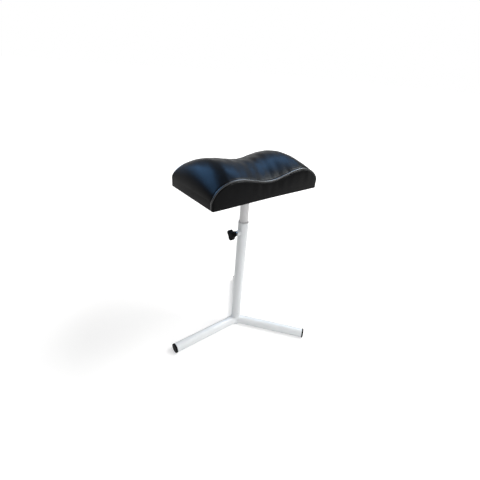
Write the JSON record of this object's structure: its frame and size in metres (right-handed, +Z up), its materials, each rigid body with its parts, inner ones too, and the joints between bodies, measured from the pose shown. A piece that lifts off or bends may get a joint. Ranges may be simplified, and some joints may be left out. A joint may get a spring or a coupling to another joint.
{
  "type": "saddle leg rest on a tripod stand",
  "caption": "Height-adjustable leg rest: black vinyl saddle cushion on a telescopic post with a clamp knob and a tripod of straight tubes lying on the floor.",
  "frame": {"origin": "on the floor, in the middle of the post's foot", "axes": "+Z up along the post; X along the cushion's long axis, with the lone front leg and the clamp knob towards -X; Y across the cushion"},
  "size_m": [0.409, 0.3856, 0.5803],
  "materials": {
    "white_powder_coat": "satin",
    "plated_tube": "satin",
    "zinc_steel": "satin",
    "black_plastic": "satin",
    "grey_plastic": "matte",
    "brass": "satin",
    "plywood": "matte",
    "foam": "matte",
    "black_vinyl": "gloss",
    "black_nonwoven": "matte"
  },
  "bodies": {
    "base": {"post_tube": "white_powder_coat", "front_leg_tube": "white_powder_coat", "left_leg_tube": "white_powder_coat", "right_leg_tube": "white_powder_coat", "front_leg_plug": "black_plastic", "left_leg_plug": "black_plastic", "right_leg_plug": "black_plastic", "post_bottom_plug": "black_plastic", "guide_bush": "grey_plastic", "clamp_nut": "white_powder_coat"},
    "lift": {"lower_glide": "grey_plastic"},
    "column": {"inner_tube_plug": "black_plastic", "inner_tube": "plated_tube", "mount_plate": "white_powder_coat", "plate_weld": "white_powder_coat", "plate_screws": "zinc_steel", "plate_washers": "zinc_steel", "tee_nuts": "zinc_steel", "staples": "zinc_steel", "seat_board": "plywood", "foam_core": "foam", "vinyl_cover": "black_vinyl", "dust_cover": "black_nonwoven"},
    "clamp_slider": {"clamp_pad": "brass"},
    "clamp_knob": {"clamp_screw": "zinc_steel", "knob_body": "black_plastic"}
  },
  "joints": [
    {"name": "height_slide", "type": "slide", "parent": "base", "child": "lift", "axis": [0, 0, 1], "range_m": [-0.09, 0.15]},
    {"name": "swivel", "type": "hinge", "parent": "lift", "child": "column", "pos_m": [0, 0, 0.25], "axis": [0, 0, 1], "continuous": true},
    {"name": "clamp_travel", "type": "slide", "parent": "base", "child": "clamp_slider", "axis": [-1, 0, 0], "range_m": [0, 0.003]},
    {"name": "knob_turn", "type": "hinge", "parent": "clamp_slider", "child": "clamp_knob", "pos_m": [-0.03, 0, 0.358], "axis": [-1, 0, 0], "range_deg": [0, 865]}
  ],
  "couplings": [
    {"joint": "knob_turn", "follows": "clamp_travel", "rad_per_m": 5026.5}
  ]
}
